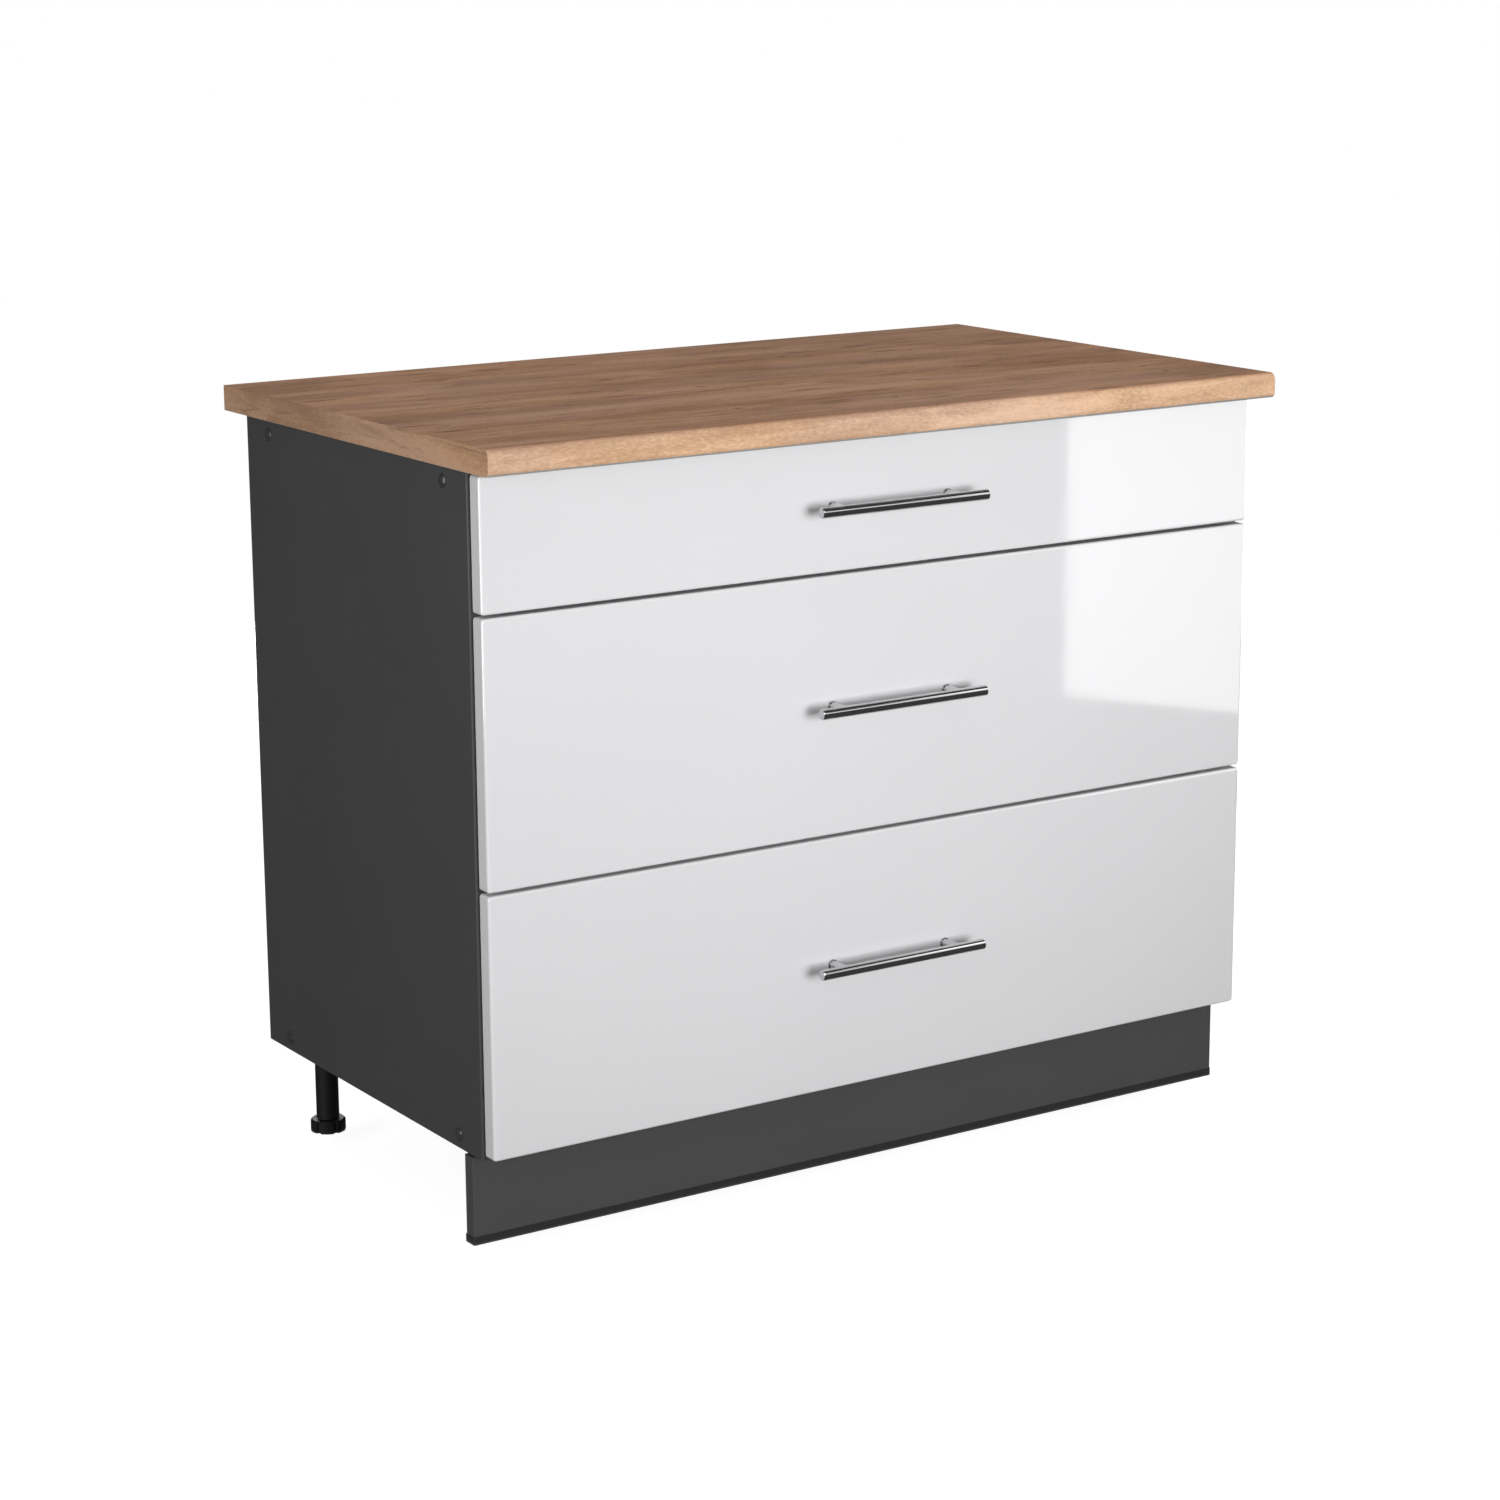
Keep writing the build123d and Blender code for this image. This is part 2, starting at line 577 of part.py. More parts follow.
def gallery_rails(drawer):
    """Round rails above the sides of a deep drawer, with a cup at each end."""
    x = RAIL_CENTRE - INNER_X
    z = drawer["runner_z"] + RAIL_HEIGHT
    back = DRAWER_BACK_Y - DRAWER_BOARD
    rail = rod(RAIL_DIAMETER, (x, FRONT_BACK_Y, z), (0, 1, 0), back - FRONT_BACK_Y)
    rail += rod(RAIL_CUP_DIAMETER, (x, FRONT_BACK_Y, z), (0, 1, 0), RAIL_CUP_LENGTH)
    rail += rod(RAIL_CUP_DIAMETER, (x, back, z), (0, -1, 0), RAIL_CUP_LENGTH)
    return group(both_sides(rail))


# Handles


def handle_columns():
    return (-HANDLE_CENTRES / 2, HANDLE_CENTRES / 2)


def handle_bar(drawer):
    start = (-HANDLE_LENGTH / 2, FRONT_Y - HANDLE_STANDOFF, drawer["handle_z"])
    bar = rod(HANDLE_DIAMETER, start, (1, 0, 0), HANDLE_LENGTH)
    return chamfer(bar.edges().filter_by(GeomType.CIRCLE), HANDLE_CHAMFER)


def handle_posts(drawer):
    """Posts between front and bar, hollowed where they meet the bar."""
    posts = []
    for x in handle_columns():
        seat = (x, FRONT_Y, drawer["handle_z"])
        post = rod(POST_DIAMETER, seat, (0, -1, 0), HANDLE_STANDOFF)
        post += rod(POST_FOOT_DIAMETER, seat, (0, -1, 0), POST_FOOT_HEIGHT)
        hole = HANDLE_SCREW_DIAMETER + 2 * SEAT_FIT
        post -= rod(hole, seat, (0, -1, 0), HANDLE_SCREW_BITE + SEAT_FIT)
        posts.append(post - handle_bar(drawer))
    return group(posts)


def handle_screws(drawer):
    screws = []
    for x in handle_columns():
        seat = (x, FRONT_BACK_Y, drawer["handle_z"])
        shank = rod(HANDLE_SCREW_DIAMETER, seat, (0, -1, 0), FRONT_THICKNESS + HANDLE_SCREW_BITE)
        screws.append(shank + pan_head(seat, (0, 1, 0), PAN_HEAD_HEIGHT))
    return group(screws)


# Assembly


def drawer_plan():
    """Heights and places of the drawers, from the top one down."""
    plan = []
    top = CARCASS_TOP - FRONT_GAP
    kinds = [
        (TOP_FRONT_HEIGHT, LOW_SIDE_HEIGHT, LOW_BACK_HEIGHT, False),
        (DEEP_FRONT_HEIGHT, DEEP_SIDE_HEIGHT, DEEP_BACK_HEIGHT, True),
        (DEEP_FRONT_HEIGHT, DEEP_SIDE_HEIGHT, DEEP_BACK_HEIGHT, True),
    ]
    for front_height, side_height, back_height, has_rails in kinds:
        front_z = top - front_height
        plan.append({
            "front_z": front_z,
            "front_height": front_height,
            "handle_z": front_z + front_height / 2,
            "runner_z": front_z + RUNNER_RISE,
            "base_z": front_z + RUNNER_RISE + SHEET,
            "side_height": side_height,
            "back_height": back_height,
            "has_rails": has_rails,
        })
        top = front_z - FRONT_GAP
    return plan


def carcass_nodes(drawers):
    left, right = both_sides(left_panel(drawers))
    confirmats = [s for y, z in confirmat_places() for s in both_sides(confirmat(y, z, 0))]
    caps = [c for y, z in confirmat_places() for c in both_sides(screw_cap(y, z))]
    nodes = {
        "side_panel_left": left,
        "side_panel_right": right,
        "bottom_panel": bottom_panel(),
        "top_rail_front": top_rail(FRONT_RAIL_Y),
        "top_rail_back": top_rail(BACK_RAIL_Y),
        "back_panel": back_panel(),
        "worktop": worktop(),
        "plinth_board": plinth_board(),
        "plinth_seal": plinth_seal(),
        "plinth_clips": plinth_clips(),
        "confirmat_screws": group(confirmats),
        "screw_caps": group(caps),
        "worktop_screws": worktop_screws(),
        "runner_screws": runner_screws(drawers),
        "leg_sockets": group([leg_socket(x, y) for x, y in leg_places().values()]),
    }
    for name, (x, y) in leg_places().items():
        nodes[f"foot_{name}"] = foot(x, y)
    return nodes


def drawer_nodes(number, drawer):
    runner_left, runner_right = both_sides(left_runner(drawer["runner_z"]))
    side_left, side_right = both_sides(left_side(drawer))
    nodes = {
        f"runner_left_{number}": runner_left,
        f"runner_right_{number}": runner_right,
        f"runner_rollers_{number}": runner_rollers(drawer["runner_z"]),
        f"drawer_rollers_{number}": drawer_rollers(drawer["runner_z"]),
        f"drawer_side_left_{number}": side_left,
        f"drawer_side_right_{number}": side_right,
        f"drawer_base_{number}": drawer_base(drawer),
        f"drawer_back_{number}": drawer_back(drawer),
        f"drawer_front_{number}": drawer_front(drawer),
        f"front_brackets_{number}": front_brackets(drawer),
        f"handle_bar_{number}": handle_bar(drawer),
        f"handle_posts_{number}": handle_posts(drawer),
        f"handle_screws_{number}": handle_screws(drawer),
    }
    if drawer["has_rails"]:
        nodes[f"gallery_rails_{number}"] = gallery_rails(drawer)
    return nodes


def main():
    os.makedirs("parts", exist_ok=True)
    drawers = drawer_plan()
    nodes = carcass_nodes(drawers)
    for number, drawer in enumerate(drawers, 1):
        nodes.update(drawer_nodes(number, drawer))
    for name, shape in nodes.items():
        export_step(shape, f"parts/{name}.step")


main()
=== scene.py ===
import json
import math

import bmesh
import bpy
from mathutils import Matrix, Vector


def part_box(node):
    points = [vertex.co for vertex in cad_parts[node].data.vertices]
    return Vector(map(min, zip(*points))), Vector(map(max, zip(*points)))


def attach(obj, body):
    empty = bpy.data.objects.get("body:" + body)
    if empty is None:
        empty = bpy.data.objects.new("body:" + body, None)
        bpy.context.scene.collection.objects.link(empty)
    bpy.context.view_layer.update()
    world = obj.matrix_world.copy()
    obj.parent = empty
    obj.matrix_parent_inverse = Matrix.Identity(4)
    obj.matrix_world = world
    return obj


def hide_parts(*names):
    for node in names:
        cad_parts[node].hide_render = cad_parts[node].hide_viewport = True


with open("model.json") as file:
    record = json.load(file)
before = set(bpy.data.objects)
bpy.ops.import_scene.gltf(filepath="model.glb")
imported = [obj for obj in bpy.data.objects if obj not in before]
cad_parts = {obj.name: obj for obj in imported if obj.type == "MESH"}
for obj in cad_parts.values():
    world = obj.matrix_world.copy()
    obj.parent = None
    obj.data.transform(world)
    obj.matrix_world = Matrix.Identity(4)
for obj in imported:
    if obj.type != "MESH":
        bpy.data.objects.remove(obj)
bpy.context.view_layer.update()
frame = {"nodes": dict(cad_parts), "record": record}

# Finishes of a kitchen base cabinet with three drawers, and the small pieces that its solids leave out.
# Metres, +Z up, -Y is the front.

DRAWERS = (1, 2, 3)
FEET = ("front_left", "front_right", "back_left", "back_right")

# Camera
CAMERA_PLACE = (-2.18213, -3.33084, 1.36071)
CAMERA_YAW = math.radians(33.15)
CAMERA_PITCH = math.radians(13.26)
CAMERA_ROLL = math.radians(-0.35)
CAMERA_LENS = 85.85
CAMERA_SENSOR = 36.0

# Light
SKY_SHOWN = 1.0
SKY_LIGHT = 0.26
KEY_PLACE = (-0.05, -4.2, 1.0)
KEY_TARGET = (-0.05, 0.0, 1.0)
KEY_WIDTH = 2.0
KEY_HEIGHT = 1.6
KEY_SPREAD = math.radians(60)
KEY_POWER = 18.8
LIGHT_TARGET = (0.0, -0.25, 0.5)

# Square soft boxes: place, size and power
SOFT_BOXES = {
    "fill": ((-3.1, -0.8, 0.95), 1.6, 35.0),
    "right": ((3.0, 0.35, 0.42), 0.8, 28.0),
    "back": ((0.6, 3.1, 0.42), 0.8, 28.0),
    "top": ((0.0, -0.4, 2.7), 1.6, 8.0),
}

# Floor, as low as the feet reach
FLOOR_HALF = 9.0
FLOOR_LEVEL = -0.015
FLOOR_SHOWN = 0.87
FLOOR_SHOWN_BOUNCE = 0.5
FLOOR_BOUNCE = 0.4

# Cards that only reflections see
BRIGHT_CARD_NEAR = (1.379, -1.709)
BRIGHT_CARD_FAR = (1.8, -0.995)
BRIGHT_CARD_LOW = 0.1
BRIGHT_CARD_HIGH = 2.1
BRIGHT_CARD_GLOW = 2.1
SIDE_CARD_NEAR = (-2.75, -1.9)
SIDE_CARD_FAR = (-2.75, 0.3)
SIDE_CARD_LOW = 0.05
SIDE_CARD_HIGH = 2.2
SIDE_CARD_GLOW = 4.0
DARK_RING_RADIUS = 3.4
DARK_RING_HEIGHT = 3.2
DARK_RING_LIFT = 0.002
DARK_RING_GLOW = 0.06
DARK_RING_SIDES = 64
LIGHT_BAND_RADIUS = 3.3
LIGHT_BAND_LOW = 1.35
LIGHT_BAND_HIGH = 2.3
LIGHT_BAND_START = math.radians(200)
LIGHT_BAND_END = math.radians(340)
LIGHT_BAND_STEPS = 28
LIGHT_BAND_GLOW = 1.1

# Worktop ends
STRIP_THICKNESS = 0.0006
STRIP_EASE = 0.0003
WORKTOP_TOP_ROUND = 0.008
WORKTOP_UNDER_ROUND = 0.006
ARC_STEPS = 8

# Nails of the back panel; the profile is in shares of radius and height
NAIL_RADIUS = 0.0026
NAIL_HEIGHT = 0.0009
NAIL_PROFILE = ((1.0, 0.0), (1.0, 0.4), (0.82, 0.8), (0.4, 1.0))
NAIL_SIDES = 16
NAIL_INSET = 0.006
NAIL_SPACING = 0.12

# Cross-head screws; edge, shoulder and recess centre are shares of height, radius and arm
SCREW_ARM_HALF_WIDTH = 0.00055
SCREW_ARM_REACH = 0.0024
SCREW_RECESS = 0.0011
RECESS_CENTRE = 0.5
FLANK_STEPS = 4
HEAD_RADIUS = 0.0045
HEAD_HEIGHT = 0.0028
HEAD_EDGE = 0.55
HEAD_SHOULDER = 0.85
RUNNER_HEAD_HEIGHT = 0.0013
HANDLE_SCREW_X = 0.075
HANDLE_SCREW_RADIUS = 0.002
HANDLE_SCREW_LENGTH = 0.030
RUNNER_SHEET = 0.0012
RUNNER_SCREW_RADIUS = 0.0025
RUNNER_SCREW_LENGTH = 0.0122
RUNNER_SCREW_INSET = 0.035
RUNNER_SCREW_SPACING = 0.256
WORKTOP_SCREW_X = 0.25
WORKTOP_SCREW_RADIUS = 0.00225
WORKTOP_SCREW_LENGTH = 0.042
FLANGE_THICKNESS = 0.004
FLANGE_HEAD_RADIUS = 0.003
FLANGE_HEAD_HEIGHT = 0.0016
FLANGE_SCREW_RING = 0.018
FLANGE_CORNERS = 4
JOIN_DISTANCE = 1e-7


# Node-graph helpers

NOISE_SPREAD = (0.3, 0.7)  # where most values of a noise texture lie
TONE_SPREAD = (0.35, 0.65)
FACING_SPREAD = (0.5, 0.7)


class Finish:
    """A procedural material and the nodes that feed its shader."""

    def __init__(self, name, **constants):
        self.material = bpy.data.materials.new(name)
        self.material.use_nodes = True
        self.tree = self.material.node_tree
        self.shader = self.tree.nodes["Principled BSDF"]
        coordinates = self.add("ShaderNodeTexCoord")
        self.place = coordinates.outputs["Object"]
        self.normal = coordinates.outputs["Normal"]
        for socket, value in constants.items():
            self.set(socket.replace("_", " "), value)

    def add(self, kind, inputs=None, **settings):
        made = self.tree.nodes.new(kind)
        for key, value in settings.items():
            setattr(made, key, value)
        for key, value in (inputs or {}).items():
            self.feed(made.inputs[key], value)
        return made

    def feed(self, socket, value):
        if isinstance(value, bpy.types.NodeSocket):
            self.tree.links.new(value, socket)
        else:
            socket.default_value = value

    def set(self, socket, value):
        self.feed(self.shader.inputs[socket], value)

    def stretched(self, scale, place=None):
        """The place on the piece, scaled on each axis."""
        inputs = {"Vector": place or self.place, "Scale": scale}
        return self.add("ShaderNodeMapping", inputs).outputs["Vector"]

    def noise(self, scale, place=None, detail=3.0, roughness=0.5, distortion=0.0):
        inputs = {
            "Vector": self.stretched(scale, place),
            "Scale": 1.0,
            "Detail": detail,
            "Roughness": roughness,
            "Distortion": distortion,
        }
        return self.add("ShaderNodeTexNoise", inputs).outputs["Fac"]

    def even_noise(self, scale, **settings):
        return self.noise((scale, scale, scale), **settings)

    def cells(self, scale, place, feature="F1"):
        """A Voronoi texture with cells stretched on each axis."""
        inputs = {"Vector": self.stretched(scale, place), "Scale": 1.0}
        return self.add("ShaderNodeTexVoronoi", inputs, feature=feature).outputs

    def math(self, operation, first, second=0.0):
        node = self.add("ShaderNodeMath", operation=operation)
        self.feed(node.inputs[0], first)
        self.feed(node.inputs[1], second)
        return node.outputs[0]

    def times(self, first, second):
        return self.math("MULTIPLY", first, second)

    def blended(self, *shares):
        """The sum of several values, each times its share."""
        total = 0.0
        for value, share in shares:
            total = self.math("ADD", self.times(value, share), total)
        return total

    def graded(self, value, low, high, to_low=0.0, to_high=1.0, smooth=True):
        """A value mapped from one range to another, held at both ends."""
        kind = "SMOOTHSTEP" if smooth else "LINEAR"
        inputs = {"Value": value, "From Min": low, "From Max": high, "To Min": to_low, "To Max": to_high}
        return self.add("ShaderNodeMapRange", inputs, interpolation_type=kind).outputs["Result"]

    def varied(self, noise, low, high):
        """A noise spread out between two values."""
        return self.graded(noise, *NOISE_SPREAD, low, high)

    def facing(self, axis, sign=None):
        """1 where the surface faces along an axis, or only one way along it if a sign is given, else 0."""
        part = self.add("ShaderNodeSeparateXYZ", {"Vector": self.normal}).outputs[axis]
        along = self.times(part, sign) if sign else self.math("ABSOLUTE", part)
        return self.graded(along, *FACING_SPREAD)

    def mixed(self, factor, first, second, blend="MIX"):
        node = self.add("ShaderNodeMix", data_type="RGBA", blend_type=blend)
        self.feed(node.inputs[0], factor)
        self.feed(node.inputs[6], first)
        self.feed(node.inputs[7], second)
        return node.outputs[2]

    def mixed_places(self, factor, first, second):
        node = self.add("ShaderNodeMix", data_type="VECTOR")
        self.feed(node.inputs[0], factor)
        self.feed(node.inputs[4], first)
        self.feed(node.inputs[5], second)
        return node.outputs[1]

    def bump(self, height, strength, distance):
        inputs = {"Height": height, "Strength": strength, "Distance": distance}
        self.set("Normal", self.add("ShaderNodeBump", inputs).outputs["Normal"])


def rgb(red, green, blue):
    return (red, green, blue, 1.0)


def grey(value):
    return rgb(value, value, value)


# Materials

FOIL_BACK_ROUGHNESS = 0.5


def white_gloss():
    """High-gloss foil on the outer faces, a matt foil behind."""
    finish = Finish("white_gloss", IOR=1.9)
    tone = finish.even_noise(4.0, detail=2.0)
    finish.set("Base Color", finish.mixed(tone, rgb(0.74, 0.742, 0.755), rgb(0.765, 0.767, 0.78)))
    polish = finish.varied(finish.even_noise(25.0), low=0.035, high=0.06)
    behind = finish.times(finish.facing("Y", 1.0), FOIL_BACK_ROUGHNESS)
    finish.set("Roughness", finish.math("MAXIMUM", polish, behind))
    finish.bump(finish.even_noise(120.0, detail=1.0), strength=0.02, distance=0.0001)
    return finish.material


def board_texture(finish, dark, light, strength):
    """The fine pearled print and surface of melamine board."""
    pearl = finish.even_noise(900.0, detail=2.0)
    drift = finish.even_noise(6.0, detail=2.0)
    tone = finish.blended((pearl, 0.6), (drift, 0.4))
    finish.set("Base Color", finish.mixed(finish.graded(tone, *TONE_SPREAD), dark, light))
    finish.set("Roughness", finish.varied(pearl, low=0.42, high=0.55))
    finish.bump(pearl, strength, distance=0.0002)


def anthracite_board():
    finish = Finish("anthracite_board", Specular_IOR_Level=0.25)
    board_texture(finish, rgb(0.056, 0.056, 0.0565), rgb(0.062, 0.062, 0.0625), strength=0.12)
    return finish.material


# Painted light: the plinth's board is a lighter copy of the anthracite board, standing in for the plinth
# catching more light than the side panels
def anthracite_plinth():
    finish = Finish("anthracite_plinth", Specular_IOR_Level=0.12)
    board_texture(finish, rgb(0.072, 0.072, 0.0725), rgb(0.078, 0.078, 0.0785), strength=0.08)
    return finish.material


def drawer_board():
    finish = Finish("drawer_board", Specular_IOR_Level=0.35)
    board_texture(finish, rgb(0.58, 0.58, 0.572), rgb(0.65, 0.65, 0.642), strength=0.2)
    return finish.material


def grey_hardboard():
    """Lacquered fibreboard with a faint fibre mottle."""
    finish = Finish("grey_hardboard", Specular_IOR_Level=0.25)
    fibre = finish.even_noise(350.0, detail=5.0, roughness=0.7)
    cloud = finish.even_noise(9.0, detail=3.0)
    tone = finish.blended((fibre, 0.85), (cloud, 0.15))
    finish.set("Base Color", finish.mixed(finish.graded(tone, *TONE_SPREAD), grey(0.058), grey(0.085)))
    finish.set("Roughness", finish.varied(fibre, low=0.5, high=0.7))
    finish.bump(fibre, strength=0.3, distance=0.0003)
    return finish.material


# Oak print, in repeats per metre along, across and through the grain
OAK_WANDER = (2.4, 9.0, 9.0)
OAK_BANDS = (2.2, 12.0, 12.0)
OAK_STREAKS = (7.0, 52.0, 52.0)
OAK_SPECKLE = (170.0, 520.0, 520.0)
OAK_HUES = (3.0, 16.0, 16.0)
OAK_WISPS = (16.0, 110.0, 110.0)
OAK_SMUDGES = (11.0, 66.0, 66.0)
OAK_FIBRES = (12.0, 330.0, 330.0)
OAK_CRACKS = (7.0, 65.0, 65.0)
OAK_CRACKED_ZONES = (8.0, 40.0, 40.0)
OAK_KNOTS = (14.0, 30.0, 30.0)
OAK_PORES = (28.0, 1500.0, 1500.0)
OAK_WANDER_REACH = 0.006
PICK_EDGE = 0.02  # how sharply cells are picked by their random value

# Oak colours; the pairs go from golden to mauve
OAK_DARK = (rgb(0.47, 0.244, 0.134), rgb(0.45, 0.243, 0.152))
OAK_LIGHT = (rgb(0.79, 0.453, 0.276), rgb(0.74, 0.436, 0.292))
OAK_WISP = rgb(0.29, 0.138, 0.075)
OAK_DASH = rgb(0.22, 0.1, 0.053)
OAK_CRACK = rgb(0.17, 0.09, 0.06)
OAK_KNOT = rgb(0.19, 0.095, 0.06)
OAK_FRONT_TINT = rgb(1.0, 1.14, 1.18)
OAK_FRONT_PLAIN = 0.65  # how far the marks fade along the front edge
# Painted shade: the end faces of the worktop are darkened in colour
OAK_END_PAINTED_SHADE = rgb(0.76, 0.8, 0.77)
OAK_BACKING = rgb(0.34, 0.33, 0.31)


def grain_place(finish):
    """Place with the grain along X on top and front, and along Y on the ends, gently wandering."""
    parts = finish.add("ShaderNodeSeparateXYZ", {"Vector": finish.place}).outputs
    turned = finish.add("ShaderNodeCombineXYZ", {"X": parts["Y"], "Y": parts["X"], "Z": parts["Z"]})
    straight = finish.mixed_places(finish.facing("X"), finish.place, turned.outputs[0])
    drift = finish.noise(OAK_WANDER, straight, detail=2.0)
    wander = finish.graded(drift, 0.0, 1.0, -OAK_WANDER_REACH, OAK_WANDER_REACH, smooth=False)
    shift = finish.add("ShaderNodeCombineXYZ", {"X": 0.0, "Y": wander, "Z": wander}).outputs[0]
    moved = finish.add("ShaderNodeVectorMath", {0: straight, 1: shift}, operation="ADD")
    return moved.outputs[0]


def oak_tone(finish, grain):
    """Golden and mauve-brown wood in soft bands, with faint streaks and a fine speckle."""
    bands = finish.noise(OAK_BANDS, grain, detail=4.0, roughness=0.6, distortion=0.8)
    streaks = finish.noise(OAK_STREAKS, grain, detail=5.0, roughness=0.65, distortion=0.6)
    speckle = finish.noise(OAK_SPECKLE, grain, detail=2.0, roughness=0.6)
    hue = finish.graded(finish.noise(OAK_HUES, grain), low=0.4, high=0.6)
    tone = finish.blended((bands, 0.46), (streaks, 0.3), (speckle, 0.24))
    dark = finish.mixed(hue, *OAK_DARK)
    light = finish.mixed(hue, *OAK_LIGHT)
    return finish.mixed(finish.graded(tone, low=0.37, high=0.62), dark, light)


def picked_spots(finish, grain, scale, share, wide, narrow):
    """Stretched spots in a share of the cells, darkest in their middle."""
    cells = finish.cells(scale, grain)
    pick = finish.add("ShaderNodeSeparateXYZ", {"Vector": cells["Color"]}).outputs["X"]
    spots = finish.graded(cells["Distance"], wide, narrow)
    chosen = finish.graded(pick, 1.0 - share, 1.0 - share + PICK_EDGE)
    return finish.times(spots, chosen)


def stained(finish, colour, marks, stain, strength):
    """A colour with marks of a stain laid over it."""
    return finish.mixed(finish.times(marks, strength), colour, stain)


def oak_marks(finish, grain, colour):
    """Dark wisps, short smudges of fine dark lines, cracks and small knots."""
    drift = finish.noise(OAK_WISPS, grain, detail=5.0, roughness=0.65, distortion=1.2)
    wisps = finish.graded(drift, low=0.6, high=0.74)
    colour = stained(finish, colour, wisps, OAK_WISP, strength=0.5)
    fibres = finish.graded(finish.noise(OAK_FIBRES, grain), low=0.4, high=0.58)
    smudges = picked_spots(finish, grain, OAK_SMUDGES, share=0.42, wide=0.44, narrow=0.06)
    dashes = finish.times(smudges, fibres)
    colour = stained(finish, colour, dashes, OAK_DASH, strength=0.88)
    edges = finish.cells(OAK_CRACKS, grain, "DISTANCE_TO_EDGE")["Distance"]
    zones = finish.graded(finish.noise(OAK_CRACKED_ZONES, grain, detail=2.0), low=0.55, high=0.66)
    cracks = finish.times(finish.graded(edges, low=0.04, high=0.0), zones)
    colour = stained(finish, colour, cracks, OAK_CRACK, strength=0.5)
    knots = picked_spots(finish, grain, OAK_KNOTS, share=0.22, wide=0.14, narrow=0.03)
    return stained(finish, colour, knots, OAK_KNOT, strength=0.7)


def oak_worktop():
    """Satin laminate printed with oak, paler along the front, with painted shade darkening the ends, and
    plain below.
    """
    finish = Finish("oak_worktop", Specular_IOR_Level=0.18)
    grain = grain_place(finish)
    front = finish.facing("Y", -1.0)
    tone = oak_tone(finish, grain)
    marked = oak_marks(finish, grain, tone)
    colour = finish.mixed(finish.times(front, OAK_FRONT_PLAIN), marked, tone)
    colour = finish.mixed(front, colour, OAK_FRONT_TINT, "MULTIPLY")
    # painted shade on the end faces
    colour = finish.mixed(finish.facing("X"), colour, OAK_END_PAINTED_SHADE, "MULTIPLY")
    finish.set("Base Color", finish.mixed(finish.facing("Z", -1.0), colour, OAK_BACKING))
    pores = finish.noise(OAK_PORES, grain, detail=2.0)
    finish.set("Roughness", finish.varied(pores, low=0.46, high=0.6))
    finish.bump(pores, strength=0.15, distance=0.0002)
    return finish.material


def coated_steel():
    """White powder coat with its fine orange peel."""
    finish = Finish("coated_steel", Specular_IOR_Level=0.45)
    peel = finish.even_noise(520.0, detail=2.0)
    tone = finish.even_noise(12.0)
    finish.set("Base Color", finish.mixed(tone, rgb(0.63, 0.64, 0.65), rgb(0.69, 0.70, 0.71)))
    finish.set("Roughness", finish.varied(peel, low=0.3, high=0.42))
    finish.bump(peel, strength=0.25, distance=0.0002)
    return finish.material


def roller_nylon():
    """Smooth nylon with a faint swirl from the mould."""
    finish = Finish("roller_nylon", Specular_IOR_Level=0.45)
    swirl = finish.even_noise(180.0)
    finish.set("Base Color", finish.mixed(swirl, rgb(0.64, 0.63, 0.59), rgb(0.74, 0.73, 0.70)))
    finish.set("Roughness", finish.varied(swirl, low=0.3, high=0.45))
    finish.bump(swirl, strength=0.1, distance=0.0001)
    return finish.material


METAL_WORN = 0.86  # brightness of the duller blotches


def metal(name, colour, brushed, rough, strength):
    """Bare or plated metal whose polish varies along faint drawn lines."""
    finish = Finish(name, Metallic=1.0)
    lines = finish.noise(brushed)
    blotch = finish.even_noise(60.0)
    worn = [part * METAL_WORN for part in colour]
    finish.set("Base Color", finish.mixed(blotch, rgb(*worn), rgb(*colour)))
    finish.set("Roughness", finish.varied(lines, *rough))
    finish.bump(lines, strength, distance=0.0001)
    return finish.material


def handle_chrome():
    brushed = (20.0, 900.0, 900.0)
    return metal("handle_chrome", (0.62, 0.62, 0.63), brushed, rough=(0.05, 0.11), strength=0.02)


def zinc_screw():
    brushed = (700.0, 700.0, 700.0)
    return metal("zinc_screw", (0.60, 0.60, 0.575), brushed, rough=(0.24, 0.4), strength=0.1)


def zinc_bracket():
    brushed = (500.0, 30.0, 500.0)
    return metal("zinc_bracket", (0.58, 0.58, 0.565), brushed, rough=(0.28, 0.45), strength=0.08)


def plastic(name, dark, light, rough, grain_scale, gloss=0.4):
    """Moulded plastic with a spark-eroded grain."""
    finish = Finish(name, Specular_IOR_Level=gloss)
    grain = finish.even_noise(grain_scale)
    finish.set("Base Color", finish.mixed(grain, grey(dark), grey(light)))
    finish.set("Roughness", finish.varied(grain, *rough))
    finish.bump(grain, strength=0.2, distance=0.0002)
    return finish.material


def black_plastic():
    return plastic("black_plastic", 0.010, 0.015, rough=(0.4, 0.54), grain_scale=700.0, gloss=0.15)


def cap_plastic():
    return plastic("cap_plastic", 0.04, 0.05, rough=(0.14, 0.2), grain_scale=900.0)


def seal_strip():
    return plastic("seal_strip", 0.020, 0.030, rough=(0.45, 0.6), grain_scale=600.0)


FINISHES = {
    "white_gloss": white_gloss,
    "anthracite_board": anthracite_board,
    "anthracite_plinth": anthracite_plinth,
    "grey_hardboard": grey_hardboard,
    "oak_worktop": oak_worktop,
    "drawer_board": drawer_board,
    "coated_steel": coated_steel,
    "roller_nylon": roller_nylon,
    "handle_chrome": handle_chrome,
    "black_plastic": black_plastic,
    "cap_plastic": cap_plastic,
    "seal_strip": seal_strip,
    "zinc_screw": zinc_screw,
    "zinc_bracket": zinc_bracket,
}


def node_slots():
    """The material slot of each node, from the record."""
    return {part["node"]: part["material_slot"] for part in frame["record"]["subparts"]}


def dress_nodes(materials):
    for name, slot in node_slots().items():
        data = frame["nodes"][name].data
        data.materials.clear()
        data.materials.append(materials[slot])


# Mesh pieces


